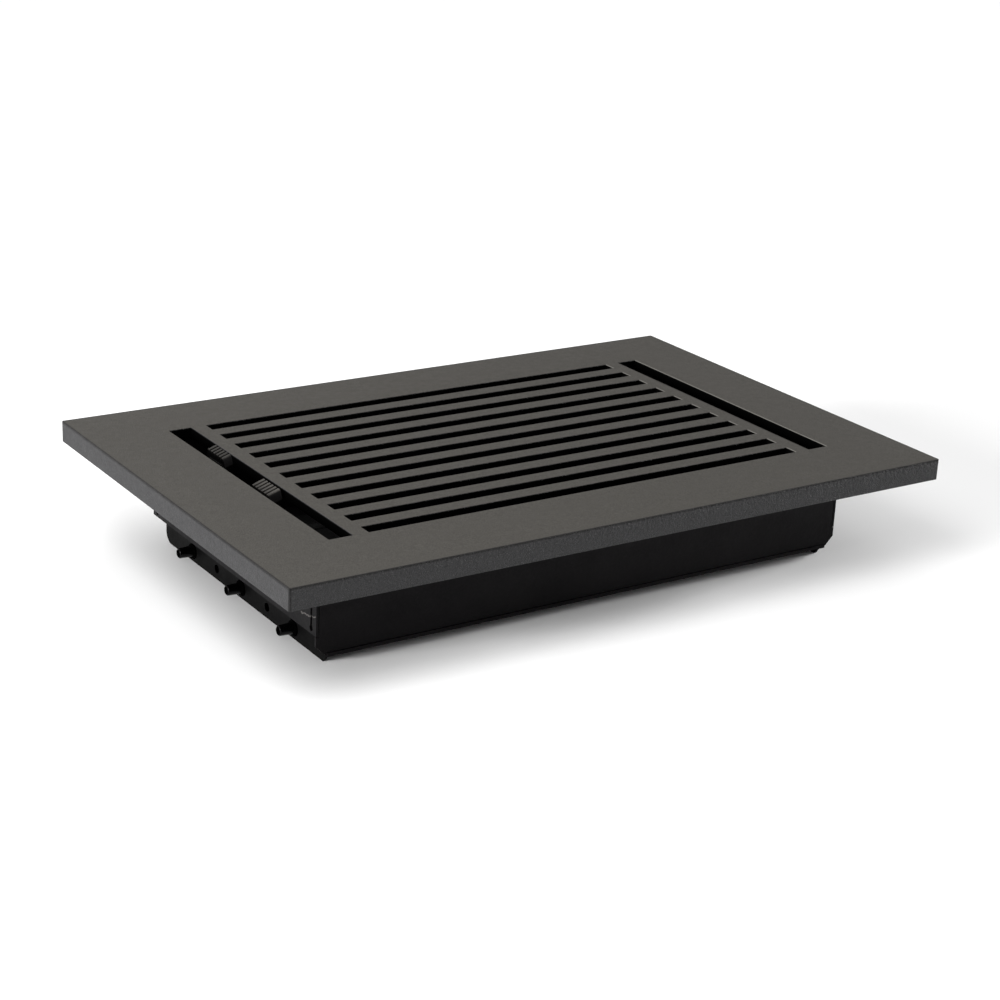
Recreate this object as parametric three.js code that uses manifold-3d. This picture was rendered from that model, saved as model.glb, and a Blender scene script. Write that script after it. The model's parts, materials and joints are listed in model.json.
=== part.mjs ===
// Louvred floor register with a two-bank damper box, in millimetres, +Z up.
// Origin: centre of the object's footprint, on the plane of its lowest edge.
// +X runs along the slots, +Y towards the back, and the damper is closed.
import * as THREE from "three";
import { mergeVertices } from "three/addons/utils/BufferGeometryUtils.js";
import Module from "manifold-3d";

const wasm = await Module();
wasm.setup();

// ---- driving dimensions ----------------------------------------------------
const GAP = 0.3;                   // clearance between pieces that rest on each other
const HEIGHT = 47.7;               // end plate bottoms to the slotted field of the plate

const PLATE_LENGTH = 298.45;       // 11 3/4 in, covers a 10 in duct opening
const PLATE_WIDTH = 196.85;        // 7 3/4 in, covers a 6 in duct opening
const PLATE_WEB = 4;
const CROWN = 0.7;                 // the border falls this much from the field to the rim
const FIELD_HALF = [120.6, 70.6];  // half length and half width of the flat slotted field
const SKIRT_HEIGHT = 8.6;
const RIM_WIDTH = 5;
const PLATE_CORNER = 0.7;

const SLOT_COUNT = 11;
const SLOT_PITCH = 12.7;           // half an inch
const SLOT_WIDTH = 6.2;
const SLOT_LENGTH = 200.4;
const SLOT_CORNER = 0.3;
const END_SLOT_INNER = 106.6;      // distance of the end slots' inner edges from the middle
const END_SLOT_WIDTH = 10;

const SHEET = 1;                   // steel sheet of the damper box
const WALL_OUTER = 69;             // outer face of the long walls
const WALL_BOTTOM = 3.5;
const LIP_HEIGHT = 1.4;
const LIP_PROUD = 0.5;
const SILL_REACH = 55.3;           // the walls' inward bottom flanges end here
const RAIL_OUTER = 122.5;          // outer face of the end rails
const RAIL_BOTTOM = 12;
const CORNER_CUT = 4.5;            // chamfer at the front wall's lower corners
const END_PLATE_OUTER = 117.5;     // outer face of the inset end plates
const END_PLATE_SHELF = 33;        // height at which they step out to the rails
const END_PLATE_ROUND = 4.5;       // radius of their lower back corner
const EAR_HALF = 55;               // half length of that step
const TOP_TAB_REACH = 76;          // the screw tabs stay inside the duct opening

const BLADE_COUNT = 5;
const BLADE_PITCH = 21.35;
const BLADE_HALF = 11.75;
const BLADE_SHEET = 1.2;
const BLADE_LEFT = -104.9;
const BLADE_RIGHT = 114.6;
const PIVOT_HEIGHT = 4.4;
const CLOSED_TILT = 6;             // degrees, so that closed blades shingle over each other
const CRANK_RADIUS = 11;
const CRANK_LEAN = 37.5;           // degrees from upright towards the back when closed
const CRANK_PIN = 1.25;
const HUB_RADIUS = 3.4;
const SHAFT_RADIUS = 2;
const JOURNAL_RADIUS = 3;
const PEG_HOLE = 3.4;
const PEG_ROOT = 2.3;
const PEG_TIP = 2;
const PEG_CHAMFER = 0.35;
const PIN_RADIUS = 1.5;
const PIN_HOLE = 1.85;

const BAR_LOW = PIVOT_HEIGHT + 5.3;
const BAR_HIGH = PIVOT_HEIGHT + 14.4;
const BAR_SLOT = 1.6;              // half width of the slots for the crank pins
const STEM_HALF = 3.7;
const STEM_TOP = HEIGHT - 6.3;

// Bank A turns blades 1, 3 and 5; bank B turns blades 2 and 4. x values of each lane:
const BANKS = {
  a: { bar: [-109.1, -107.3], arm: [-107, -105.4], pinEnd: -109.4, blades: [0, 2, 4],
    thumbY: 36.8, head: [-110.3, -106.8], socket: [-110.6, -105.8], topDrop: 0.3 },
  b: { bar: [-113.3, -111.5], arm: [-115.4, -113.8], pinEnd: -111.2, blades: [1, 3],
    thumbY: -6.7, head: [-112.9, -108], socket: [-114.8, -110], topDrop: 0.1 },
};
const GUIDE_STATIONS = [-32, 10.7];

const degrees = THREE.MathUtils.degToRad;
const webBottom = HEIGHT - PLATE_WEB;
const skirtBottom = HEIGHT - CROWN - SKIRT_HEIGHT;
const boxTop = webBottom - GAP;
const wallInner = WALL_OUTER - SHEET;
const slotRowEnd = ((SLOT_COUNT - 1) * SLOT_PITCH + SLOT_WIDTH) / 2;
const armAngle = degrees(CRANK_LEAN + CLOSED_TILT);
const pinReach = CRANK_RADIUS * Math.sin(degrees(CRANK_LEAN));
const pinLow = CRANK_RADIUS * Math.cos(degrees(CRANK_LEAN));
const bladeY = (index) => (index - (BLADE_COUNT - 1) / 2) * BLADE_PITCH;

// ---- materials ---------------------------------------------------------------
const finish = (color, roughness, metalness) =>
  new THREE.MeshStandardMaterial({ color, roughness, metalness });
const powderCoat = finish(0x4a4742, 0.62, 0.1);
const blackSteel = finish(0x1b1a1a, 0.5, 0.2);
const greySteel = finish(0x2a292a, 0.5, 0.25);
const bladeSteel = finish(0x222222, 0.45, 0.3);
const barSteel = finish(0x8d8f92, 0.4, 0.9);
const blackPlastic = finish(0x141414, 0.45, 0);
const thumbPlastic = finish(0x1d1c1b, 0.55, 0);
const zinc = finish(0x9c9ea1, 0.35, 0.9);

// ---- solids --------------------------------------------------------------------
function toSolid(geometry) {
  const bare = geometry.clone();
  bare.deleteAttribute("normal");
  bare.deleteAttribute("uv");
  const merged = mergeVertices(bare, 1e-4);
  const index = merged.index.array;
  const triangles = [];
  for (let i = 0; i < index.length; i += 3) {
    const [p, q, r] = [index[i], index[i + 1], index[i + 2]];
    if (p !== q && q !== r && r !== p) triangles.push(p, q, r);
  }
  return new wasm.Manifold(new wasm.Mesh({
    numProp: 3,
    vertProperties: new Float32Array(merged.attributes.position.array),
    triVerts: new Uint32Array(triangles),
  }));
}

function toGeometry(solid) {
  const mesh = solid.getMesh();
  const geometry = new THREE.BufferGeometry();
  geometry.setAttribute("position", new THREE.BufferAttribute(mesh.vertProperties, 3));
  geometry.setIndex(new THREE.BufferAttribute(mesh.triVerts, 1));
  geometry.computeVertexNormals();
  return geometry;
}

const join = (solids) => solids.reduce((whole, piece) => whole.add(piece));
const cut = (body, tools) => tools.reduce((rest, tool) => rest.subtract(tool), body);

function box([x0, x1], [y0, y1], [z0, z1]) {
  const geometry = new THREE.BoxGeometry(x1 - x0, y1 - y0, z1 - z0);
  geometry.translate((x0 + x1) / 2, (y0 + y1) / 2, (z0 + z1) / 2);
  return toSolid(geometry);
}

// Outlines are drawn in the plane across the named axis and run along it.
const X = new THREE.Vector3(1, 0, 0);
const Y = new THREE.Vector3(0, 1, 0);
const Z = new THREE.Vector3(0, 0, 1);
const planes = {
  x: new THREE.Matrix4().makeBasis(Y, Z, X),                       // drawn in (y, z)
  y: new THREE.Matrix4().makeBasis(X, Z, Y.clone().negate()),      // drawn in (x, z)
  z: new THREE.Matrix4(),                                          // drawn in (x, y)
};

function prism(outline, axis, [from, to], curveSegments = 6, lean = null) {
  const geometry = new THREE.ExtrudeGeometry(outline,
    { depth: to - from, bevelEnabled: false, curveSegments });
  geometry.applyMatrix4(planes[axis]);
  if (axis === "x") geometry.translate(from, 0, 0);
  if (axis === "y") geometry.translate(0, to, 0);
  if (axis === "z") geometry.translate(0, 0, from);
  if (lean) geometry.applyMatrix4(lean);
  return toSolid(geometry);
}

const polygon = (points) => new THREE.Shape(points.map(([u, v]) => new THREE.Vector2(u, v)));

function roundedRectangle([u0, u1], [v0, v1], radius) {
  const shape = new THREE.Shape();
  shape.absarc(u1 - radius, v0 + radius, radius, -Math.PI / 2, 0);
  shape.absarc(u1 - radius, v1 - radius, radius, 0, Math.PI / 2);
  shape.absarc(u0 + radius, v1 - radius, radius, Math.PI / 2, Math.PI);
  shape.absarc(u0 + radius, v0 + radius, radius, Math.PI, Math.PI * 1.5);
  return shape;
}

// A round bar along X or Z through (u, v) of the plane across it.
function rod(axis, [u, v], [from, to], radius, endRadius = radius, sides = 16) {
  const geometry = new THREE.CylinderGeometry(endRadius, radius, to - from, sides);
  if (axis === "x") geometry.rotateZ(-Math.PI / 2).translate((from + to) / 2, u, v);
  if (axis === "z") geometry.rotateX(Math.PI / 2).translate(u, v, (from + to) / 2);
  return toSolid(geometry);
}

// ---- scene graph ---------------------------------------------------------------
const register = new THREE.Group();

function place(name, solid, material, parent = register) {
  const mesh = new THREE.Mesh(toGeometry(solid), material);
  mesh.name = name;
  parent.add(mesh);
}

// ---- face plate ----------------------------------------------------------------
const SCREW_X = [-85, 85];
const SCREW_Y = 72.6;
const screwStations = [-1, 1].flatMap((side) => SCREW_X.map((x) => ({ x, side })));

// What the crown takes off above one border, along the named axis.
function borderFall(axis, side, fieldHalf, plateHalf) {
  const beyond = plateHalf + 1;
  const fallen = HEIGHT - (CROWN * (beyond - fieldHalf)) / (plateHalf - fieldHalf);
  const wedge = polygon([[side * fieldHalf, HEIGHT], [side * beyond, fallen],
    [side * beyond, HEIGHT + 1], [side * fieldHalf, HEIGHT + 1]]);
  return prism(wedge, axis, [-PLATE_LENGTH, PLATE_LENGTH]);
}

function facePlate() {
  const outer = (inset) => roundedRectangle(
    [-PLATE_LENGTH / 2 + inset, PLATE_LENGTH / 2 - inset],
    [-PLATE_WIDTH / 2 + inset, PLATE_WIDTH / 2 - inset], PLATE_CORNER);
  const web = outer(0);
  for (let i = 0; i < SLOT_COUNT; i += 1) {
    const y = (i - (SLOT_COUNT - 1) / 2) * SLOT_PITCH;
    web.holes.push(roundedRectangle([-SLOT_LENGTH / 2, SLOT_LENGTH / 2],
      [y - SLOT_WIDTH / 2, y + SLOT_WIDTH / 2], SLOT_CORNER));
  }
  for (const side of [-1, 1]) {
    const middle = side * (END_SLOT_INNER + END_SLOT_WIDTH / 2);
    web.holes.push(roundedRectangle(
      [middle - END_SLOT_WIDTH / 2, middle + END_SLOT_WIDTH / 2],
      [-slotRowEnd, slotRowEnd], SLOT_CORNER));
  }
  const skirt = outer(0);
  skirt.holes.push(outer(RIM_WIDTH));
  const holes = screwStations.map(({ x, side }) =>
    rod("z", [x, side * SCREW_Y], [webBottom - 1, webBottom + 2.9], 1.7));
  const body = prism(web, "z", [webBottom, HEIGHT], 3)
    .add(prism(skirt, "z", [skirtBottom, webBottom + 0.5], 3));
  const falls = [-1, 1].flatMap((side) => [
    borderFall("y", side, FIELD_HALF[0], PLATE_LENGTH / 2),
    borderFall("x", side, FIELD_HALF[1], PLATE_WIDTH / 2),
  ]);
  return cut(body, [...holes, ...falls]);
}
place("faceplate", facePlate(), powderCoat);

// ---- damper box ----------------------------------------------------------------
// Long wall at the front (side -1) or back (side +1), with its lip, its inward
// sill, its screw tabs under the plate and a lug behind each end rail. Below the
// rails the front one ends in a chamfer, and the back one ends behind the end plates.
function longWall(side) {
  const across = (near, far) => (side < 0 ? [-far, -near] : [near, far]);
  const railInner = RAIL_OUTER - SHEET - GAP;
  const shoulder = RAIL_BOTTOM - GAP;
  const sillEnd = END_PLATE_OUTER - SHEET - GAP;
  const lipEnd = side < 0 ? RAIL_OUTER - CORNER_CUT : sillEnd;
  const rightFoot = side < 0
    ? [[lipEnd, WALL_BOTTOM], [RAIL_OUTER, WALL_BOTTOM + CORNER_CUT], [RAIL_OUTER, shoulder]]
    : [[lipEnd, WALL_BOTTOM], [lipEnd, shoulder]];
  const rightHalf = [...rightFoot, [railInner, shoulder], [railInner, boxTop]];
  const leftHalf = rightHalf.map(([x, z]) => [-x, z]).reverse();
  const outline = polygon([...rightHalf, ...leftHalf]);
  const sillHeights = [WALL_BOTTOM, WALL_BOTTOM + LIP_HEIGHT];
  const pieces = [
    prism(outline, "y", across(wallInner, WALL_OUTER)),
    box([-lipEnd, lipEnd], across(wallInner, WALL_OUTER + LIP_PROUD), sillHeights),
    box([-sillEnd, sillEnd], across(SILL_REACH, wallInner + 0.5), sillHeights),
  ];
  for (const end of [-1, 1]) {
    const lug = [railInner - SHEET, railInner].map((x) => end * x).sort((p, q) => p - q);
    pieces.push(box(lug, across(57, wallInner + 0.5), [13, 38]));
  }
  for (const x of SCREW_X) {
    pieces.push(box([x - 8, x + 8], across(wallInner, TOP_TAB_REACH), [boxTop - SHEET, boxTop]));
  }
  const holes = screwStations.filter((screw) => screw.side === side)
    .map(({ x }) => rod("z", [x, side * SCREW_Y], [boxTop - 3, boxTop + 1], 1.8));
  for (const end of [-1, 1]) {
    const through = [railInner - 2, railInner + 1].map((x) => end * x).sort((p, q) => p - q);
    holes.push(rod("x", [side * 62, 34], through, 1.5, 1.5, 12));
  }
  return cut(join(pieces), holes);
}
place("front_side_wall", longWall(-1), blackSteel);
place("rear_side_wall", longWall(1), blackSteel);

const cornerRivets = [[-62, 34], [62, 34]];
const earRivets = [[-40, 38], [40, 38]];
const KEYHOLE_Y = 65.3;
const KEYHOLE_RADIUS = 1.2;
const KEYHOLE_SLIT = 1.3;

// End rail: the upper band of the box's end, with a keyhole relief by each corner.
function endRail(side) {
  const faces = [RAIL_OUTER - SHEET, RAIL_OUTER].map((x) => side * x).sort((p, q) => p - q);
  const beyond = [faces[0] - 1, faces[1] + 1];
  const plate = polygon([[-WALL_OUTER, RAIL_BOTTOM], [WALL_OUTER, RAIL_BOTTOM],
    [WALL_OUTER, boxTop], [-WALL_OUTER, boxTop]]);
  const holes = [...cornerRivets, ...earRivets].map((at) => rod("x", at, beyond, 1.5, 1.5, 12));
  for (const end of [-1, 1]) {
    const y = end * KEYHOLE_Y;
    const slit = [y - KEYHOLE_SLIT / 2, y + KEYHOLE_SLIT / 2];
    holes.push(rod("x", [y, RAIL_BOTTOM + 2.1], beyond, KEYHOLE_RADIUS, KEYHOLE_RADIUS, 16));
    holes.push(box(beyond, slit, [RAIL_BOTTOM + 2.1, 25]));
  }
  return cut(prism(plate, "x", faces), holes);
}
place("left_end_rail", endRail(-1), greySteel);
place("right_end_rail", endRail(1), greySteel);

const guideRivets = GUIDE_STATIONS.flatMap((y) => [[y - 3, 26], [y + 3, 26]]);

// Inset end plate that carries the blades' pivots. A shelf steps out to the rail.
function endPlate(side) {
  const ordered = (near, far) => (side < 0 ? [-far, -near] : [near, far]);
  const inner = END_PLATE_OUTER - SHEET;
  const railFace = RAIL_OUTER - SHEET - GAP;
  const reach = wallInner - GAP;
  const round = END_PLATE_ROUND;
  const outline = new THREE.Shape();
  outline.moveTo(-reach, END_PLATE_SHELF);
  outline.lineTo(-reach, 3.2);
  outline.lineTo(-reach + 2.2, 0);
  outline.lineTo(reach - round, 0);
  outline.absarc(reach - round, round, round, -Math.PI / 2, 0, false);
  outline.lineTo(reach, END_PLATE_SHELF);
  for (let i = 0; i < BLADE_COUNT; i += 1) {
    const hole = new THREE.Path();
    const radius = i % 2 === 0 ? PEG_HOLE : PIN_HOLE;
    hole.absarc(bladeY(i), PIVOT_HEIGHT, radius, 0, Math.PI * 2, true);
    outline.holes.push(hole);
  }
  const ears = [-EAR_HALF, EAR_HALF];
  const body = join([
    prism(outline, "x", ordered(inner, END_PLATE_OUTER), 10),
    box(ordered(inner, railFace), ears, [END_PLATE_SHELF - 0.5, END_PLATE_SHELF + SHEET]),
    box(ordered(railFace - SHEET, railFace), ears, [END_PLATE_SHELF, 41]),
  ]);
  const holes = earRivets.map((at) => rod("x", at, ordered(railFace - 2, railFace + 1), 1.5, 1.5, 12));
  if (side < 0) {
    holes.push(...guideRivets.map((at) =>
      rod("x", at, ordered(inner - 1, END_PLATE_OUTER + 1), 1.4, 1.4, 12)));
  }
  return cut(body, holes);
}
place("left_end_plate", endPlate(-1), greySteel);
place("right_end_plate", endPlate(1), greySteel);

// ---- blades, cranks and end pivots ---------------------------------------------
const along = (length, offset) => [offset - length / 2, offset + length / 2];
const BEAD_RADIUS = 2.6;

// A pressed blade: a flat strip with a bead rolled along its middle.
function damperBlade() {
  const strip = prism(roundedRectangle([BLADE_LEFT, BLADE_RIGHT], [-BLADE_HALF, BLADE_HALF], 1.5),
    "z", along(BLADE_SHEET, 0), 3);
  const capsule = (radius) => {
    const geometry = new THREE.CapsuleGeometry(radius, 176, 3, 12);
    geometry.rotateZ(Math.PI / 2).translate((BLADE_LEFT + BLADE_RIGHT) / 2, 0, 0);
    return toSolid(geometry);
  };
  const upper = box([-120, 120], [-5, 5], [-BLADE_SHEET / 2, 5]);
  const ridge = capsule(BEAD_RADIUS).intersect(upper);
  return strip.add(ridge).subtract(capsule(BEAD_RADIUS - BLADE_SHEET));
}

const CLIP_LENGTH = 9;

// The clip of a crank or pivot that holds a blade's end between two jaws.
function bladeClip([from, to], slotRange) {
  const slot = box(slotRange, [-6, 6], [-BLADE_SHEET / 2 - GAP, BLADE_SHEET / 2 + GAP]);
  return rod("x", [0, 0], [from, to], HUB_RADIUS).subtract(slot);
}

function crankArm([x0, x1], pinRange) {
  const arm = new THREE.Shape();
  const [u, v] = [Math.sin(armAngle) * CRANK_RADIUS, Math.cos(armAngle) * CRANK_RADIUS];
  const tip = 2.3;
  const spread = Math.acos((HUB_RADIUS - tip) / CRANK_RADIUS);
  const heading = Math.PI / 2 - armAngle;
  arm.absarc(0, 0, HUB_RADIUS, heading + spread, heading - spread + Math.PI * 2, false);
  arm.absarc(u, v, tip, heading - spread, heading + spread, false);
  return prism(arm, "x", [x0, x1], 5).add(rod("x", [u, v], pinRange, CRANK_PIN, CRANK_PIN, 12));
}

// Left end of a bank A blade: its journal passes the end plate and ends in a peg.
function peggedCrank() {
  const { arm, pinEnd } = BANKS.a;
  const inner = -END_PLATE_OUTER + SHEET + GAP;
  const root = -END_PLATE_OUTER - 0.7;
  const tip = -124;
  const pieces = [
    bladeClip([arm[1] - 0.1, BLADE_LEFT + CLIP_LENGTH], [BLADE_LEFT - GAP, -90]),
    crankArm(arm, [pinEnd, arm[0] + 0.1]),
    rod("x", [0, 0], [inner, arm[0] + 0.1], SHAFT_RADIUS),
    rod("x", [0, 0], [inner, inner + 0.6], 4.1, 4.1, 24),
    rod("x", [0, 0], [root, inner + 0.1], JOURNAL_RADIUS, JOURNAL_RADIUS, 24),
    rod("x", [0, 0], [tip + PEG_CHAMFER, root + 0.1], PEG_TIP, PEG_ROOT, 24),
    rod("x", [0, 0], [tip, tip + PEG_CHAMFER + 0.05], PEG_TIP - PEG_CHAMFER, PEG_TIP - 0.01, 24),
  ];
  const dimple = rod("x", [0, 0], [tip - 1, tip + 1.5], 1.25, 1.1, 16);
  return cut(join(pieces), [dimple]);
}

// Left end of a bank B blade: a plain pin that stays just inside the end plate's face.
function pinnedCrank() {
  const { arm, pinEnd } = BANKS.b;
  return join([
    bladeClip([BLADE_LEFT - 1.2, BLADE_LEFT + CLIP_LENGTH], [BLADE_LEFT - GAP, -90]),
    crankArm(arm, [arm[1] - 0.1, pinEnd]),
    rod("x", [0, 0], [arm[1] - 0.1, BLADE_LEFT - 1.1], SHAFT_RADIUS),
    rod("x", [0, 0], [-END_PLATE_OUTER + 0.3, arm[0] + 0.1], PIN_RADIUS, PIN_RADIUS, 16),
  ]);
}

// Right end of a blade: a clip with a journal in the right end plate.
function endPivot(pegged) {
  const radius = pegged ? JOURNAL_RADIUS : PIN_RADIUS;
  const inner = END_PLATE_OUTER - SHEET - GAP;
  return join([
    bladeClip([BLADE_RIGHT - CLIP_LENGTH, inner], [90, BLADE_RIGHT + GAP]),
    rod("x", [0, 0], [inner - 0.1, END_PLATE_OUTER + (pegged ? 1.2 : -0.3)], radius),
  ]);
}

for (let i = 0; i < BLADE_COUNT; i += 1) {
  const pegged = BANKS.a.blades.includes(i);
  const louvre = new THREE.Group();
  louvre.position.set(0, bladeY(i), PIVOT_HEIGHT);
  louvre.rotation.x = degrees(CLOSED_TILT);
  place(`damper_blade_${i + 1}`, damperBlade(), bladeSteel, louvre);
  place(`blade_crank_${i + 1}`, pegged ? peggedCrank() : pinnedCrank(), blackPlastic, louvre);
  place(`blade_pivot_${i + 1}`, endPivot(pegged), blackPlastic, louvre);
  register.add(louvre);
}

// ---- link bars, thumb tabs and guides --------------------------------------------
function linkBar(bank) {
  const slotYs = bank.blades.map((i) => bladeY(i) + pinReach);
  const ends = [Math.min(...slotYs) - 7, Math.max(...slotYs) + 7];
  const outline = roundedRectangle(ends, [BAR_LOW, BAR_HIGH], 2);
  for (const y of slotYs) {
    const slot = new THREE.Path();
    slot.absarc(y, PIVOT_HEIGHT + pinLow, BAR_SLOT, Math.PI, Math.PI * 2, false);
    slot.absarc(y, PIVOT_HEIGHT + CRANK_RADIUS, BAR_SLOT, 0, Math.PI, false);
    outline.holes.push(slot);
  }
  const stem = [bank.thumbY - STEM_HALF, bank.thumbY + STEM_HALF];
  return prism(outline, "x", bank.bar, 4).add(box(bank.bar, stem, [BAR_HIGH - 0.5, STEM_TOP]));
}

const RIB_COUNT = 6;
const RIB_DEPTH = 0.9;
const RIB_SHARE = 0.58;            // crest's share of each rib's pitch
const RIB_SLOPE = 0.2;             // length of a rib's side along Y
const TAB_HALF = 7.1;
const TAB_FALL = 0.34;             // fall of the top towards the plate's end, per millimetre

// A ribbed tab that sits in the left end slot, on a socket around the bar's stem.
function thumbTab(bank) {
  const top = HEIGHT - bank.topDrop;
  const pitch = (2 * TAB_HALF) / RIB_COUNT;
  const points = [];
  for (let i = 0; i < RIB_COUNT; i += 1) {
    const back = TAB_HALF - i * pitch;
    const front = back - RIB_SHARE * pitch;
    points.push([back, top], [front, top]);
    points.push([front - RIB_SLOPE, top - RIB_DEPTH], [back - pitch + RIB_SLOPE, top - RIB_DEPTH]);
  }
  points.length -= 2;
  points.push([-TAB_HALF, top - 0.7], [-TAB_HALF - 1.3, top - 3.2], [-TAB_HALF + 0.3, top - 5.6],
    [TAB_HALF - 0.3, top - 5.6], [TAB_HALF + 1.3, top - 3.2]);
  const shifted = points.map(([y, z]) => [y + bank.thumbY, z]);
  const socketTop = webBottom - GAP;
  const stemRoom = [bank.thumbY - STEM_HALF - GAP, bank.thumbY + STEM_HALF + GAP];
  const lean = new THREE.Matrix4().set(
    1, 0, 0, 0,
    0, 1, 0, 0,
    TAB_FALL, 0, 1, -TAB_FALL * bank.head[1],
    0, 0, 0, 1,
  );
  const head = prism(polygon(shifted), "x", bank.head, 1, lean);
  const socket = box(bank.socket, [stemRoom[0] - 1, stemRoom[1] + 1], [28, socketTop]);
  const cavity = box([bank.bar[0] - GAP, bank.bar[1] + GAP], stemRoom, [27, STEM_TOP + GAP]);
  const eye = rod("x", [bank.thumbY - TAB_HALF + 1.7, top - 3.4], [bank.head[0] - 1, bank.head[0] + 1],
    0.8, 0.8, 12);
  return cut(head.add(socket), [cavity, eye]);
}

for (const [letter, bank] of Object.entries(BANKS)) {
  place(`link_bar_${letter}`, linkBar(bank), barSteel);
  place(`thumb_tab_${letter}`, thumbTab(bank), thumbPlastic);
}

// A guide hangs from the left end plate: a shelf over both bars, and a post
// between them with a sole that carries their lower edges.
function linkGuide(y) {
  const foot = [-END_PLATE_OUTER + SHEET + GAP, -END_PLATE_OUTER + SHEET + GAP + 1];
  const shelfLow = BAR_HIGH + GAP;
  const shelfEnd = BANKS.a.bar[1] + 0.2;
  const post = [-110.9, -109.7];
  const sole = [BANKS.b.bar[0] - 0.1, BANKS.a.bar[1]];
  const body = join([
    box(foot, along(10, y), [shelfLow, 31]),
    box([foot[0], shelfEnd], along(10, y), [shelfLow, shelfLow + 1.2]),
    box(post, along(10, y), [BAR_LOW - GAP - 1.4, shelfLow + 0.5]),
    box(sole, along(10, y), [BAR_LOW - GAP - 1.4, BAR_LOW - GAP]),
  ]);
  const holes = [-3, 3].map((offset) =>
    rod("x", [y + offset, 26], [foot[0] - 1, foot[1] + 1], 1.4, 1.4, 12));
  return cut(body, holes);
}
place("link_guide_front", linkGuide(GUIDE_STATIONS[0]), blackPlastic);
place("link_guide_rear", linkGuide(GUIDE_STATIONS[1]), blackPlastic);

// ---- fasteners -------------------------------------------------------------------
// Pan-head screw from below, through a wall tab into the plate.
function plateScrew({ x, side }) {
  const at = [x, side * SCREW_Y];
  const under = boxTop - SHEET - GAP;
  const cross = [[2.2, 0.45], [0.45, 2.2]].map(([u, v]) =>
    box([x - u, x + u], [at[1] - v, at[1] + v], [under - 3, under - 0.9]));
  const head = rod("z", at, [under - 1.9, under], 2.5, 3.2, 20);
  return cut(head.add(rod("z", at, [under - 0.5, webBottom + 2.5], 1.35, 1.35, 12)), cross);
}
screwStations.forEach((at, i) => place(`plate_screw_${i + 1}`, plateScrew(at), zinc));

// Rivet along X with a domed head outside and a set tail inside.
function rivet(side, [y, z], outerFace, innerFace, shank) {
  const ordered = (near, far) => (side < 0 ? [-far, -near] : [near, far]);
  const taper = (wide, narrow) => (side < 0 ? [narrow, wide] : [wide, narrow]);
  return join([
    rod("x", [y, z], ordered(outerFace + 0.15, outerFace + 1), ...taper(2.3, 1.4), 14),
    rod("x", [y, z], ordered(innerFace - 0.5, outerFace + 0.3), shank, shank, 12),
    rod("x", [y, z], ordered(innerFace - 0.95, innerFace - 0.15), 1.9, 1.9, 12),
  ]);
}

const lugFace = RAIL_OUTER - 2 * SHEET - GAP;
for (const [side, end] of [[-1, "left"], [1, "right"]]) {
  [...cornerRivets, ...earRivets].forEach((at, i) =>
    place(`${end}_rail_rivet_${i + 1}`, rivet(side, at, RAIL_OUTER, lugFace, 1.2), zinc));
}

const guideFace = END_PLATE_OUTER - SHEET - GAP - 1;
guideRivets.forEach((at, i) =>
  place(`guide_rivet_${i + 1}`, rivet(-1, at, END_PLATE_OUTER, guideFace, 1.1), zinc));

export default register;
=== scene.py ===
"""Louvred floor register: looks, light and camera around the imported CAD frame."""
import json
import math

import bpy
from mathutils import Matrix, Vector

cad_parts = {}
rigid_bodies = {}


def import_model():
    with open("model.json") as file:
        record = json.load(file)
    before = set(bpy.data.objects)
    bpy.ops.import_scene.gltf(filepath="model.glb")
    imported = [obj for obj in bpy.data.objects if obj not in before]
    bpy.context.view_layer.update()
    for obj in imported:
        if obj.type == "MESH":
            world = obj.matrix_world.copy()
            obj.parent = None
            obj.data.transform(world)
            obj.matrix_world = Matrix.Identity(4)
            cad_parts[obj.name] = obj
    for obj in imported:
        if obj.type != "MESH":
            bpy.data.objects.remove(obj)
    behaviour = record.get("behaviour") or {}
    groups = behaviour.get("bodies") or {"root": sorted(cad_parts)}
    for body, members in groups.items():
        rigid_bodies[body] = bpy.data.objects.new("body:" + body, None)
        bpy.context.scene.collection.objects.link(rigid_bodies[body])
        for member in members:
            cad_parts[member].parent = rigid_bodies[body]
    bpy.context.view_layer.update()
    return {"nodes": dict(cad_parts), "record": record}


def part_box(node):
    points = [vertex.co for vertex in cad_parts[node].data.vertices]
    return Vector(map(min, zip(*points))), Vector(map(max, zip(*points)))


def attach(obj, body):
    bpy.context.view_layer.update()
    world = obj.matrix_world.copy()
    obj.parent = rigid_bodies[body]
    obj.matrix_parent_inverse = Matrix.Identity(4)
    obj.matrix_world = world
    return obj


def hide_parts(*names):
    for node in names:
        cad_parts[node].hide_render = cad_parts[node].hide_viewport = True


MM = 0.001

for leftover in list(bpy.data.objects):
    bpy.data.objects.remove(leftover)

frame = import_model()
nodes = frame["nodes"]

plate_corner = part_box("faceplate")[1]
plate_top = plate_corner.z
CROWN = 0.7 * MM  # the slotted field stands this much above the plate's outline


# ---- camera --------------------------------------------------------------------
CAMERA_LENS = 78.88
SENSOR_WIDTH = 36
CAMERA_AZIMUTH = -33.978  # degrees; 0 is in front of the object, at -Y, and 90 at +X
CAMERA_ELEVATION = 20.408
CAMERA_ROLL = 2.70
CAMERA_DISTANCE = 0.826
CAMERA_TARGET = Vector((-0.03851, -0.05822, plate_top - CROWN))


def direction(azimuth, elevation):
    """Unit vector towards a place; azimuth 0 is in front of the object, at -Y, and 90 at +X."""
    turn = math.radians(azimuth)
    rise = math.radians(elevation)
    return Vector((
        math.sin(turn) * math.cos(rise),
        -math.cos(turn) * math.cos(rise),
        math.sin(rise),
    ))


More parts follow.
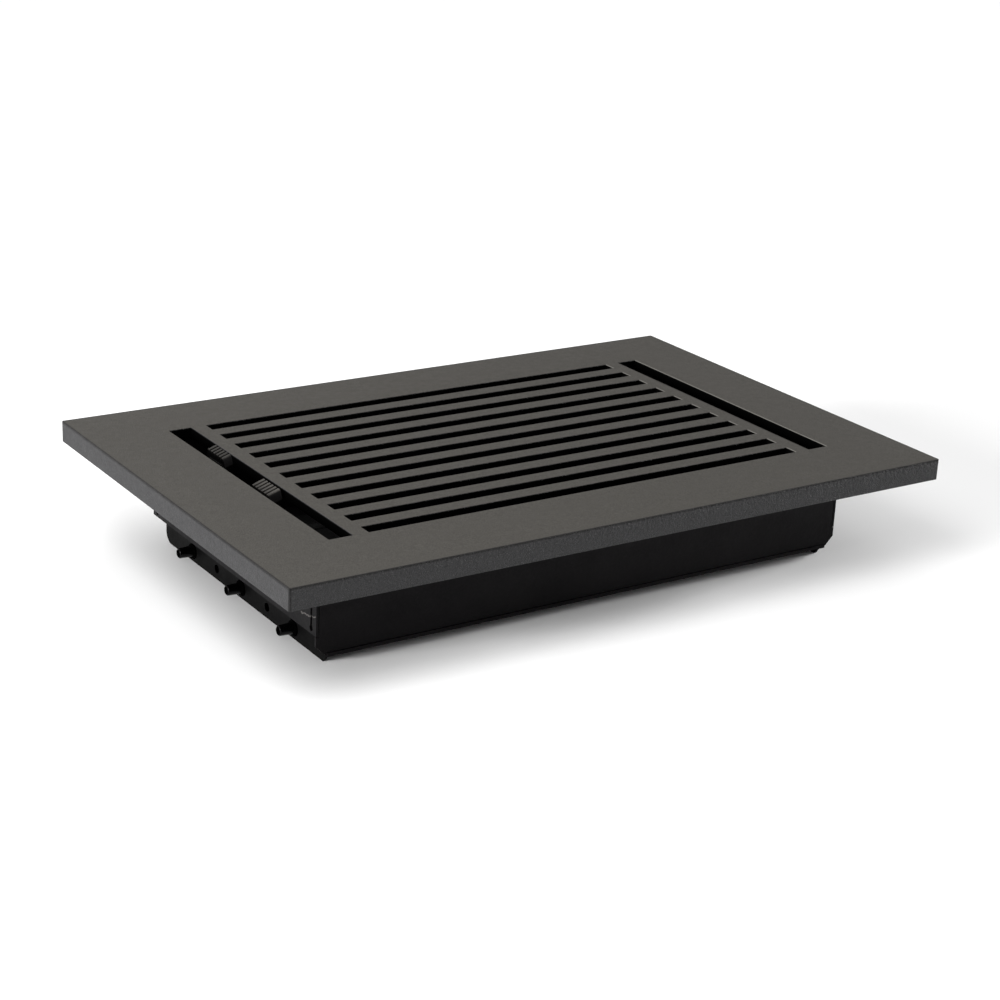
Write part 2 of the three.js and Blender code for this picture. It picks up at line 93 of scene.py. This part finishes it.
def add_camera():
    data = bpy.data.cameras.new("camera")
    data.lens = CAMERA_LENS
    data.sensor_width = SENSOR_WIDTH
    data.clip_start = 0.01
    data.clip_end = 20
    camera = bpy.data.objects.new("camera", data)
    back = direction(CAMERA_AZIMUTH, CAMERA_ELEVATION)
    roll = Matrix.Rotation(math.radians(CAMERA_ROLL), 3, "Z")
    turn = back.to_track_quat("Z", "Y").to_matrix() @ roll
    camera.matrix_world = Matrix.Translation(CAMERA_TARGET + back * CAMERA_DISTANCE) @ turn.to_4x4()
    bpy.context.scene.collection.objects.link(camera)
    bpy.context.scene.camera = camera


# ---- shader helpers --------------------------------------------------------------
class Shader:
    """A Principled material with short helpers for its node tree."""

    def __init__(self, name):
        self.material = bpy.data.materials.new(name)
        self.material.use_nodes = True
        self.tree = self.material.node_tree
        self.surface = self.tree.nodes["Principled BSDF"]
        coordinates = self.add("ShaderNodeTexCoord")
        self.place = coordinates.outputs["Object"]
        self.facing = coordinates.outputs["Normal"]

    def add(self, kind, **settings):
        node = self.tree.nodes.new(kind)
        for key, value in settings.items():
            setattr(node, key, value)
        return node

    def link(self, source, target):
        self.tree.links.new(source, target)

    def feed(self, name, source):
        """Links a source to one of the surface's inputs."""
        self.link(source, self.surface.inputs[name])

    def set(self, **values):
        """Sets constants on the surface's own sockets; _ in a name stands for a space."""
        for key, value in values.items():
            self.surface.inputs[key.replace("_", " ")].default_value = value

    def part_of(self, vector, axis):
        """One coordinate of a vector, by its axis name X, Y or Z."""
        split = self.add("ShaderNodeSeparateXYZ")
        self.link(vector, split.inputs[0])
        return split.outputs[axis]

    def math(self, operation, *values):
        """A sum, product, comparison and so on of sockets and numbers."""
        node = self.add("ShaderNodeMath", operation=operation)
        for socket, value in zip(node.inputs, values):
            if isinstance(value, (int, float)):
                socket.default_value = value
            else:
                self.link(value, socket)
        return node.outputs[0]

    def color(self, rgb):
        node = self.add("ShaderNodeRGB")
        node.outputs[0].default_value = (*rgb, 1)
        return node.outputs[0]

    def noise(self, size, detail=2.0, roughness=0.5, offset=(0, 0, 0)):
        """Noise with features of about this size, in metres; offset sets it apart from the others."""
        mapping = self.add("ShaderNodeMapping")
        mapping.inputs["Location"].default_value = offset
        self.link(self.place, mapping.inputs["Vector"])
        noise = self.add("ShaderNodeTexNoise")
        noise.inputs["Scale"].default_value = 1 / size
        noise.inputs["Detail"].default_value = detail
        noise.inputs["Roughness"].default_value = roughness
        self.link(mapping.outputs["Vector"], noise.inputs["Vector"])
        return noise.outputs["Fac"]

    def spread(self, source, low, high, start=0.3, end=0.7):
        """A value that runs from low to high as the source runs from start to end."""
        span = self.add("ShaderNodeMapRange")
        for key, value in zip(("From Min", "From Max", "To Min", "To Max"), (start, end, low, high)):
            span.inputs[key].default_value = value
        self.link(source, span.inputs["Value"])
        return span.outputs["Result"]

    def blend(self, source, first, second, start=0.3, end=0.7):
        """A colour between two colours."""
        ramp = self.add("ShaderNodeValToRGB")
        ramp.color_ramp.elements[0].position = start
        ramp.color_ramp.elements[1].position = end
        ramp.color_ramp.elements[0].color = (*first, 1)
        ramp.color_ramp.elements[1].color = (*second, 1)
        self.link(source, ramp.inputs["Fac"])
        return ramp.outputs["Color"]

    def mix(self, factor, first, second):
        """A mix of two colour sockets, by a number or a socket."""
        mixer = self.add("ShaderNodeMix", data_type="RGBA")
        if isinstance(factor, float):
            mixer.inputs["Factor"].default_value = factor
        else:
            self.link(factor, mixer.inputs["Factor"])
        self.link(first, mixer.inputs[6])
        self.link(second, mixer.inputs[7])
        return mixer.outputs[2]

    def bump(self, *layers):
        """Bump from layers of height source, depth in metres and an optional strength source."""
        normal = None
        for source, depth, *strength in layers:
            bump = self.add("ShaderNodeBump")
            bump.inputs["Distance"].default_value = depth
            self.link(source, bump.inputs["Height"])
            if strength:
                self.link(strength[0], bump.inputs["Strength"])
            if normal is not None:
                self.link(normal, bump.inputs["Normal"])
            normal = bump.outputs["Normal"]
        self.feed("Normal", normal)


# ---- powder coat of the plate ------------------------------------------------------
COAT_DARK = (0.0458, 0.0428, 0.0378)
COAT_LIGHT = (0.0482, 0.0450, 0.0400)
SPECK_DARK = (0.0240, 0.0224, 0.0196)
SPECK_LIGHT = (0.0735, 0.0688, 0.0611)
SPECK_SHARE = 0.6
# Painted shade: a darker, neutral copy of the coat for the upright faces.
SHADED_SIDE_DARK = (0.0220, 0.0217, 0.0222)
SHADED_SIDE_LIGHT = (0.0395, 0.0390, 0.0401)
LINE_COLOR = (0.008, 0.0075, 0.0075)
LINE_SHARE = 0.85
# Painted highlight on the slots' rounded edges.
SLOT_EDGE_HIGHLIGHT = (0.12, 0.115, 0.105)
# Painted shade that turns the slots' walls black.
SLOT_SHADE = (0.0008, 0.0008, 0.0008)

GRAIN_SIZE = 0.5 * MM
GRAIN_DEPTH = 0.12 * MM
SIDE_GRAIN_DEPTH = 0.35 * MM
PEEL_SIZE = 1.2 * MM
PEEL_DEPTH = 0.7 * MM
COAT_SPECULAR = 0.13
EDGE_LINE = 0.5 * MM  # width of the dark line along the plate's outer edge
SLOT_REGION_INSET = 25 * MM  # every slot lies further than this from the plate's outline
SLOT_SHADE_DEPTH = (0.2 * MM, 0.4 * MM)  # painted shade turns the slots' walls black over this depth


def outer_line(shader, across, along, inset, depth):
    """How much of a point is on the dark line around the plate and down its corners."""
    top_edge = shader.spread(inset, 1, 0, EDGE_LINE * 0.8, EDGE_LINE * 1.3)
    near_top = shader.spread(depth, 1, 0, CROWN + EDGE_LINE, CROWN + EDGE_LINE * 2)
    rim = shader.math("MULTIPLY", top_edge, near_top)
    corner = shader.spread(shader.math("MAXIMUM", across, along), 1, 0, EDGE_LINE * 1.2, EDGE_LINE * 2)
    return shader.math("MULTIPLY", shader.math("MAXIMUM", rim, corner), LINE_SHARE)


def highlit_edge(shader, x, facing):
    """How much painted highlight a point gets: it lies on rounded edges that face the back or the
    plate's middle.
    """
    rounded = shader.spread(facing["Z"], 1, 0, 0.8, 0.97)
    to_back = shader.spread(facing["Y"], 0, 1, 0.15, 0.35)
    outwards = shader.math("MULTIPLY", facing["X"], shader.math("SIGN", x))
    to_middle = shader.spread(outwards, 1, 0, -0.35, -0.15)
    return shader.math("MULTIPLY", rounded, shader.math("MAXIMUM", to_back, to_middle))


def powder_coat():
    """Fine-grained warm grey coat, dark along the outer edge, with painted shade on its upright faces
    and in the slots and painted highlights on the slots' edges.
    """
    shader = Shader("powder coat")
    x, y, z = (shader.part_of(shader.place, axis) for axis in "XYZ")
    across = shader.math("SUBTRACT", plate_corner.x, shader.math("ABSOLUTE", x))
    along = shader.math("SUBTRACT", plate_corner.y, shader.math("ABSOLUTE", y))
    inset = shader.math("MINIMUM", across, along)
    depth = shader.math("SUBTRACT", plate_top, z)
    facing = {axis: shader.part_of(shader.facing, axis) for axis in "XYZ"}
    upright = shader.spread(shader.math("ABSOLUTE", facing["Z"]), 1, 0, 0.3, 0.7)

    grain = shader.noise(GRAIN_SIZE, detail=2, roughness=0.6)
    cloud = shader.noise(20 * MM, detail=4)
    coat = shader.blend(cloud, COAT_DARK, COAT_LIGHT)
    speck = shader.blend(grain, SPECK_DARK, SPECK_LIGHT)
    # Upright faces take the darker, neutral copy as painted shade; the warm tone kept on the tops is
    # painted warm light from above.
    side = shader.blend(grain, SHADED_SIDE_DARK, SHADED_SIDE_LIGHT)
    coat = shader.mix(upright, shader.mix(SPECK_SHARE, coat, speck), side)
    coat = shader.mix(outer_line(shader, across, along, inset, depth), coat, shader.color(LINE_COLOR))

    # The slots' rounded edges get a painted highlight; their walls get painted shade, black and without
    # gloss.
    slots = shader.math("GREATER_THAN", inset, SLOT_REGION_INSET)
    painted_highlight = shader.math("MULTIPLY", slots, highlit_edge(shader, x, facing))
    coat = shader.mix(painted_highlight, coat, shader.color(SLOT_EDGE_HIGHLIGHT))
    inside = shader.math("MULTIPLY", slots, shader.spread(depth, 0, 1, *SLOT_SHADE_DEPTH))
    coat = shader.mix(inside, coat, shader.color(SLOT_SHADE))
    shader.feed("Base Color", coat)

    gloss = shader.noise(3 * MM, detail=4, offset=(3, 1, 2))
    rough = shader.spread(gloss, 0.5, 0.6)
    shader.feed("Roughness", shader.math("MAXIMUM", rough, inside))
    shader.feed("Specular IOR Level", shader.spread(inside, COAT_SPECULAR, 0, 0, 1))

    # Orange peel on the long sides, strongest under the top edge.
    long_side = shader.spread(shader.math("ABSOLUTE", facing["Y"]), 0, 1, 0.5, 0.8)
    near_edge = shader.spread(depth, 1, 0.3, CROWN + 2 * MM, CROWN + 6 * MM)
    peel = shader.noise(PEEL_SIZE, detail=1, roughness=0.4, offset=(5, 5, 5))
    shader.bump(
        (peel, PEEL_DEPTH, shader.math("MULTIPLY", long_side, near_edge)),
        (grain, GRAIN_DEPTH, shader.math("SUBTRACT", 1.0, inside)),
        (grain, SIDE_GRAIN_DEPTH, long_side),
    )
    return shader.material


# ---- paint, plastic and zinc -------------------------------------------------------
def painted(name, dark, light, rough, specular, grain, grain_depth):
    """Paint with a fine grain, slight tone changes and uneven gloss."""
    shader = Shader(name)
    cloud = shader.noise(30 * MM, detail=4, roughness=0.6)
    fine = shader.noise(grain, detail=2)
    tone = shader.math("ADD", shader.math("MULTIPLY", cloud, 0.6), shader.math("MULTIPLY", fine, 0.4))
    shader.feed("Base Color", shader.blend(tone, dark, light, 0.38, 0.62))
    gloss = shader.noise(12 * MM, detail=4, offset=(3, 1, 2))
    shader.feed("Roughness", shader.spread(gloss, rough - 0.1, rough + 0.1))
    shader.set(Specular_IOR_Level=specular)
    coarse = shader.noise(grain * 3, detail=1, offset=(5, 5, 5))
    shader.bump((coarse, grain_depth), (fine, grain_depth * 0.5))
    return shader


# Ends of the chipped line on the left end rail, as (y, z).
CHIP_BACK = (-57.5 * MM, 17.4 * MM)
CHIP_FRONT = (-68.9 * MM, 19.5 * MM)
CHIP_WIDTH = (0.08 * MM, 0.25 * MM)  # half width of its bright core and of its soft edge
CHIP_COLOR = (0.08, 0.075, 0.072)


def chip(shader):
    """Adds a ragged line of chipped paint near the front of the left end rail, down to the steel."""
    x, y, z = (shader.part_of(shader.place, axis) for axis in "XYZ")
    ragged = shader.spread(shader.noise(1.5 * MM, detail=3), -0.5 * MM, 0.5 * MM)
    slope = (CHIP_FRONT[1] - CHIP_BACK[1]) / (CHIP_FRONT[0] - CHIP_BACK[0])
    line = shader.math("MULTIPLY_ADD", shader.math("SUBTRACT", y, CHIP_BACK[0]), slope, CHIP_BACK[1])
    height = shader.math("SUBTRACT", shader.math("SUBTRACT", z, line), ragged)
    on_line = shader.spread(shader.math("ABSOLUTE", height), 1, 0, *CHIP_WIDTH)
    left_end = shader.math("LESS_THAN", x, 0)
    past_back = shader.math("LESS_THAN", y, CHIP_BACK[0])
    before_front = shader.math("GREATER_THAN", y, CHIP_FRONT[0])
    along = shader.math("MULTIPLY", shader.math("MULTIPLY", past_back, left_end), before_front)
    bare = shader.math("MULTIPLY", along, on_line)
    paint = shader.surface.inputs["Base Color"].links[0].from_socket
    shader.feed("Base Color", shader.mix(bare, paint, shader.color(CHIP_COLOR)))


def plastic(name, color, rough, specular):
    """Moulded plastic; the flat ends that face -X are cut and have no gloss."""
    shader = Shader(name)
    shine = shader.spread(shader.part_of(shader.facing, "X"), 0, specular, -0.85, -0.7)
    shader.feed("Specular IOR Level", shine)
    tone = shader.noise(3 * MM, detail=3)
    lighter = tuple(c * 1.4 for c in color)
    shader.feed("Base Color", shader.blend(tone, color, lighter))
    shader.feed("Roughness", shader.spread(tone, rough - 0.06, rough + 0.06))
    shader.bump((shader.noise(0.4 * MM), 0.02 * MM))
    return shader.material


def zinc_plated():
    """Zinc plate with patches of darker and rougher metal."""
    shader = Shader("zinc plate")
    patch = shader.noise(1.5 * MM, detail=4)
    shader.feed("Base Color", shader.blend(patch, (0.3, 0.3, 0.31), (0.48, 0.48, 0.47)))
    shader.feed("Roughness", shader.spread(patch, 0.28, 0.45))
    shader.set(Metallic=1.0)
    shader.bump((shader.noise(0.3 * MM), 0.01 * MM))
    return shader.material


TAB_FALL = 0.34  # fall of a thumb tab's top towards the plate's end, in mm for each mm
TAB_CREST = {"thumb_tab_a": -106.8 * MM, "thumb_tab_b": -108 * MM}  # x of its highest edge
TAB_LIGHT_SHARE = {"thumb_tab_a": 0.5, "thumb_tab_b": 1}  # share of painted light on its ribs; the smaller share of thumb_tab_a is painted shade
TAB_DARK = ((0.0025, 0.0023, 0.0024), (0.005, 0.0047, 0.0047))
# Colours of the painted light on the ribs' crests.
TAB_LIT_CREST = ((0.03, 0.028, 0.025), (0.055, 0.051, 0.046))


def ribbed_nylon(node):
    """Dark nylon with painted light on the crests of the ribs."""
    shader = Shader("nylon of " + node)
    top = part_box(node)[1].z
    x = shader.part_of(shader.place, "X")
    z = shader.part_of(shader.place, "Z")
    fall = shader.math("MULTIPLY", shader.math("SUBTRACT", TAB_CREST[node], x), TAB_FALL)
    depth = shader.math("SUBTRACT", shader.math("SUBTRACT", top, z), fall)
    crest = shader.spread(depth, 1, 0, 0.1 * MM, 0.4 * MM)
    tone = shader.noise(0.8 * MM, detail=3)
    dark = shader.blend(tone, *TAB_DARK)
    lit_colors = [tuple(c * TAB_LIGHT_SHARE[node] for c in color) for color in TAB_LIT_CREST]
    painted_highlight = shader.blend(tone, *lit_colors)
    shader.feed("Base Color", shader.mix(crest, dark, painted_highlight))
    shader.feed("Roughness", shader.spread(tone, 0.4, 0.55))
    shader.set(Specular_IOR_Level=0.06)
    shader.bump((shader.noise(0.3 * MM), 0.02 * MM))
    return shader.material


box_paint = painted(
    "box paint", (0.0016, 0.0012, 0.0017), (0.0048, 0.0040, 0.0046),
    rough=0.42, specular=0.07, grain=1.0 * MM, grain_depth=0.12 * MM,
)
end_paint = painted(
    "end paint", (0.0008, 0.0008, 0.0008), (0.0018, 0.0017, 0.0018),
    rough=0.5, specular=0.035, grain=1.2 * MM, grain_depth=0.05 * MM,
)
rail_paint = painted(
    "rail paint", (0.0035, 0.0033, 0.0036), (0.006, 0.0057, 0.0061),
    rough=0.5, specular=0.06, grain=1.2 * MM, grain_depth=0.05 * MM,
)
chip(rail_paint)
blade_paint = painted(
    "blade paint", (0.004, 0.004, 0.004), (0.007, 0.007, 0.007),
    rough=0.45, specular=0.2, grain=0.9 * MM, grain_depth=0.03 * MM,
)
bar_paint = painted(
    "bar paint", (0.012, 0.012, 0.012), (0.02, 0.02, 0.02),
    rough=0.4, specular=0.3, grain=0.5 * MM, grain_depth=0.01 * MM,
)
zinc = zinc_plated()

FINISHES = {
    "powder_coat": powder_coat(),
    "box_steel": box_paint.material,
    "end_steel": end_paint.material,
    "blade_steel": blade_paint.material,
    "bar_steel": bar_paint.material,
    "black_plastic": plastic("black nylon", (0.0006, 0.0006, 0.0006), 0.2, 0.15),
    "zinc": zinc,
}
# The pins of these cranks end inside the end plate; their near-black, glossless nylon is painted shade.
shaded_pin_nylon = plastic("pin nylon", (0.0001, 0.0001, 0.0001), 0.5, 0.0)
NODE_FINISHES = {
    "left_end_rail": rail_paint.material,
    "right_end_rail": rail_paint.material,
    "blade_crank_2": shaded_pin_nylon,
    "blade_crank_4": shaded_pin_nylon,
    "thumb_tab_a": ribbed_nylon("thumb_tab_a"),
    "thumb_tab_b": ribbed_nylon("thumb_tab_b"),
}
EDGE_ROUNDING = {
    "powder_coat": 0.25 * MM,
    "box_steel": 0.25 * MM,
    "end_steel": 0.25 * MM,
    "blade_steel": 0.2 * MM,
    "bar_steel": 0.15 * MM,
    "black_plastic": 0.15 * MM,
    "thumb_plastic": 0.12 * MM,
    "zinc": 0.1 * MM,
}


# ---- CAD nodes -----------------------------------------------------------------
SMOOTH_ANGLE = 30  # edges sharper than this stay sharp, in degrees
FLAT_ANGLE = 1  # facets closer than this in direction are merged, in degrees
ROUNDED_ANGLE = 35  # edges sharper than this are rounded, in degrees
WELD_DISTANCE = 0.002 * MM


def smooth_by_angle():
    """A node group that shades a mesh smooth, except at edges sharper than SMOOTH_ANGLE."""
    group = bpy.data.node_groups.new("smooth_by_angle", "GeometryNodeTree")
    group.interface.new_socket("Geometry", in_out="INPUT", socket_type="NodeSocketGeometry")
    group.interface.new_socket("Geometry", in_out="OUTPUT", socket_type="NodeSocketGeometry")
    start = group.nodes.new("NodeGroupInput")
    end = group.nodes.new("NodeGroupOutput")
    angle = group.nodes.new("GeometryNodeInputMeshEdgeAngle")
    limit = group.nodes.new("FunctionNodeCompare")
    limit.operation = "LESS_THAN"
    limit.inputs[1].default_value = math.radians(SMOOTH_ANGLE)
    faces = group.nodes.new("GeometryNodeSetShadeSmooth")
    edges = group.nodes.new("GeometryNodeSetShadeSmooth")
    edges.domain = "EDGE"
    group.links.new(start.outputs[0], faces.inputs["Geometry"])
    group.links.new(faces.outputs[0], edges.inputs["Geometry"])
    group.links.new(angle.outputs["Unsigned Angle"], limit.inputs[0])
    group.links.new(limit.outputs[0], edges.inputs["Shade Smooth"])
    group.links.new(edges.outputs[0], end.inputs[0])
    return group


SMOOTHING = smooth_by_angle()


def smooth(piece):
    modifier = piece.modifiers.new("smooth", "NODES")
    modifier.node_group = SMOOTHING


def dress(node, material, rounding):
    """Merges a CAD node's facets, rounds its edges and gives it its finish."""
    node.data.materials.clear()
    node.data.materials.append(material)
    weld = node.modifiers.new("weld", "WELD")
    weld.merge_threshold = WELD_DISTANCE
    planar = node.modifiers.new("planar", "DECIMATE")
    planar.decimate_type = "DISSOLVE"
    planar.angle_limit = math.radians(FLAT_ANGLE)
    bevel = node.modifiers.new("rounding", "BEVEL")
    bevel.width = rounding
    bevel.segments = 3
    bevel.limit_method = "ANGLE"
    bevel.angle_limit = math.radians(ROUNDED_ANGLE)
    smooth(node)
    flats = node.modifiers.new("flats", "WEIGHTED_NORMAL")
    flats.keep_sharp = True


for part in frame["record"]["subparts"]:
    name = part["node"]
    slot = part["material_slot"]
    finish = NODE_FINISHES[name] if name in NODE_FINISHES else FINISHES[slot]
    dress(nodes[name], finish, EDGE_ROUNDING[slot])


# ---- fasteners -----------------------------------------------------------------
def mesh_object(name, vertices, faces, material):
    mesh = bpy.data.meshes.new(name)
    mesh.from_pydata(vertices, [], faces)
    mesh.materials.append(material)
    piece = bpy.data.objects.new(name, mesh)
    bpy.context.scene.collection.objects.link(piece)
    smooth(piece)
    return piece


def arc(centre, radii, start, end, steps):
    """Points (radius, height) along part of an ellipse, from one angle in degrees to another."""
    turns = [math.radians(start + (end - start) * i / steps) for i in range(steps + 1)]
    return [(centre[0] + radii[0] * math.cos(t), centre[1] + radii[1] * math.sin(t)) for t in turns]


def turned(profile, sides, swell=None):
    """Vertices and faces of a profile turned about Z.

    The profile is a list of (radius, height) that starts and ends on the axis. swell, where
    given, adds to the radius by radius, height and share of a turn.
    """
    first, *rings, last = profile
    vertices = [(0, 0, first[1])]
    for radius, height in rings:
        for i in range(sides):
            angle = 2 * math.pi * i / sides
            out = radius + (swell(radius, height, i / sides) if swell else 0)
            vertices.append((out * math.cos(angle), out * math.sin(angle), height))
    vertices.append((0, 0, last[1]))
    faces = [(0, 1 + (i + 1) % sides, 1 + i) for i in range(sides)]
    for ring in range(len(rings) - 1):
        low = 1 + ring * sides
        for i in range(sides):
            j = (i + 1) % sides
            faces.append((low + i, low + j, low + sides + j, low + sides + i))
    top = 1 + (len(rings) - 1) * sides
    faces += [(top + i, top + (i + 1) % sides, len(vertices) - 1) for i in range(sides)]
    return vertices, faces


RIVET_HEAD = 2.25 * MM  # these four are radii
RIVET_TAIL = 1.85 * MM
RIVET_BORE = 0.8 * MM
MANDREL = 0.6 * MM
RIVET_SHANK = 0.26  # radius of the shank as a share of the CAD rivet's width
STUB_RISE = 0.42 * MM  # heights are measured from the outer end of the rivet
BORE_FLOOR = 0.6 * MM
HEAD_RIM = 0.72 * MM
HEAD_BACK = 0.84 * MM


def blind_rivet(node):
    """A domed head outside with the stub of its mandrel, and a set tail inside."""
    low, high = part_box(node)
    side = -1 if low.x < 0 else 1
    length = high.x - low.x
    middle = (low + high) / 2
    shank = (high.y - low.y) * RIVET_SHANK
    lip = RIVET_BORE + 0.1 * MM
    end = length - 0.03 * MM
    profile = [(0, STUB_RISE), (MANDREL - 0.05 * MM, STUB_RISE)]
    profile += [(MANDREL, BORE_FLOOR), (RIVET_BORE, BORE_FLOOR)]
    profile += arc((lip, 0.12 * MM), (0.1 * MM, 0.1 * MM), 180, 270, 3)
    profile += arc((lip, HEAD_RIM), (RIVET_HEAD - lip, 0.7 * MM), -85, 0, 8)
    profile += [(RIVET_HEAD, HEAD_BACK), (shank, HEAD_BACK), (shank, length - 0.8 * MM)]
    profile += arc((shank, length - 0.42 * MM), (RIVET_TAIL - shank, 0.38 * MM), -80, 80, 8)
    profile += [(0.5 * MM, end), (0, end)]
    vertices, faces = turned(profile, 28)
    outer = low.x if side < 0 else high.x
    placed = [(outer - side * z, middle.y + x, middle.z + side * y) for x, y, z in vertices]
    piece = mesh_object("set_" + node, placed, faces, zinc)
    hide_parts(node)
    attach(piece, "frame")


SHANK_RADIUS = 1.19 * MM
THREAD_PITCH = 0.7 * MM
THREAD_DEPTH = 0.16 * MM
SCREW_HEAD = 3.18 * MM  # radius of the head
SCREW_CROWN = 2.1 * MM  # radius of its flat middle
SCREW_RISE = 1.9 * MM  # height of the head
RECESS_DEPTH = 1.1 * MM
RECESS_ARM = (0.42 * MM, 1.9 * MM)  # half width and half length of one bar of the cross
BLOCK_FACES = [(3, 2, 1, 0), (4, 5, 6, 7), (0, 1, 5, 4), (1, 2, 6, 5), (2, 3, 7, 6), (3, 0, 4, 7)]


def thread(radius, height, turn):
    """Swell of a screw's shank: a ridge that climbs one pitch in each turn."""
    if radius > SHANK_RADIUS + 0.01 * MM:
        return 0
    phase = (height / THREAD_PITCH - turn) % 1
    return THREAD_DEPTH * (1 - abs(2 * phase - 1) * 2)


def cut_recess(piece, centre, half_x, half_y):
    """Cuts one bar of a cross recess, wide at the head's face and narrow at its floor."""
    corners = []
    for z, share in ((-RECESS_DEPTH, 1.3), (RECESS_DEPTH, 0.75)):
        for u, v in ((-1, -1), (1, -1), (1, 1), (-1, 1)):
            corners.append((centre.x + half_x * u * share, centre.y + half_y * v * share, centre.z + z))
    recess = mesh_object("recess", corners, BLOCK_FACES, zinc)
    boolean = piece.modifiers.new("recess", "BOOLEAN")
    boolean.object = recess
    boolean.solver = "EXACT"
    piece.modifiers.move(len(piece.modifiers) - 1, 0)
    view = bpy.context.evaluated_depsgraph_get()
    cut = bpy.data.meshes.new_from_object(piece.evaluated_get(view))
    piece.modifiers.remove(boolean)
    piece.data = cut
    bpy.data.objects.remove(recess)


def pan_screw(node):
    """A pan-head screw with a cross recess below and a thread above."""
    low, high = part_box(node)
    centre = Vector(((low.x + high.x) / 2, (low.y + high.y) / 2, low.z))
    length = high.z - low.z
    profile = [(0, 0), (SCREW_CROWN, 0)]
    profile += arc((SCREW_CROWN, 1.1 * MM), (SCREW_HEAD - SCREW_CROWN, 1.08 * MM), -80, 0, 7)
    profile += [(SCREW_HEAD, SCREW_RISE - 0.12 * MM), (SCREW_HEAD - 0.12 * MM, SCREW_RISE)]
    profile += [(SHANK_RADIUS * 1.1, SCREW_RISE)]
    steps = 36
    start = SCREW_RISE + 0.1 * MM
    end = length - 0.25 * MM
    profile += [(SHANK_RADIUS, start + (end - start) * i / steps) for i in range(steps + 1)]
    profile += [(SHANK_RADIUS * 0.7, length - 0.02 * MM), (0, length - 0.02 * MM)]
    vertices, faces = turned(profile, 32, thread)
    placed = [(centre.x + x, centre.y + y, centre.z + z) for x, y, z in vertices]
    piece = mesh_object("driven_" + node, placed, faces, zinc)
    narrow, wide = RECESS_ARM
    cut_recess(piece, centre, narrow, wide)
    cut_recess(piece, centre, wide, narrow)
    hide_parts(node)
    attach(piece, "frame")


for name in sorted(nodes):
    if "rivet" in name:
        blind_rivet(name)
    if name.startswith("plate_screw"):
        pan_screw(name)


# ---- floor, world and light ------------------------------------------------------
FLOOR_HALF = 6
FLOOR_GREY = 0.9
LIGHT_CENTRE = Vector((0, 0, 0.03))
LIGHT_DISTANCE = 0.6
WORLD_LIGHT = 0.38
SOFTBOX_SIZE = 0.35
# Far soft light: azimuth, elevation, energy and width of the source, in degrees.
FAR_LIGHTS = {
    "far right": (90, 12, 5.1, 20),
    "far left": (-90, 12, 5.1, 20),
    "far back": (180, 30, 0.5, 36),
}
# Near softboxes: azimuth, elevation and energy.
NEAR_LIGHTS = {
    "near back": (-150, 42, 0.55),
    "near left": (-62, 50, 1.6),
}


def add_floor():
    h = FLOOR_HALF
    mesh = bpy.data.meshes.new("floor")
    mesh.from_pydata([(-h, -h, 0), (h, -h, 0), (h, h, 0), (-h, h, 0)], [], [(0, 1, 2, 3)])
    floor = bpy.data.objects.new("floor", mesh)
    shader = Shader("pale floor")
    shader.set(Base_Color=(FLOOR_GREY, FLOOR_GREY, FLOOR_GREY, 1), Roughness=0.9)
    shader.set(Specular_IOR_Level=0.1)
    mesh.materials.append(shader.material)
    bpy.context.scene.collection.objects.link(floor)


def add_light(name, kind, azimuth, elevation, energy, **settings):
    """A light at LIGHT_DISTANCE from LIGHT_CENTRE that shines on it."""
    data = bpy.data.lights.new(name, kind)
    data.energy = energy
    for key, value in settings.items():
        setattr(data, key, value)
    light = bpy.data.objects.new(name, data)
    towards = direction(azimuth, elevation)
    light.location = LIGHT_CENTRE + towards * LIGHT_DISTANCE
    light.rotation_euler = towards.to_track_quat("Z", "Y").to_euler()
    bpy.context.scene.collection.objects.link(light)


add_camera()
add_floor()
for name, (azimuth, elevation, energy, width) in FAR_LIGHTS.items():
    add_light(name, "SUN", azimuth, elevation, energy, angle=math.radians(width))
for name, (azimuth, elevation, energy) in NEAR_LIGHTS.items():
    add_light(name, "AREA", azimuth, elevation, energy, shape="DISK", size=SOFTBOX_SIZE)

world = bpy.data.worlds.new("studio")
world.use_nodes = True
world.node_tree.nodes["Background"].inputs["Color"].default_value = (1, 1, 1, 1)
world.node_tree.nodes["Background"].inputs["Strength"].default_value = WORLD_LIGHT
bpy.context.scene.world = world
bpy.context.scene.view_settings.view_transform = "Standard"
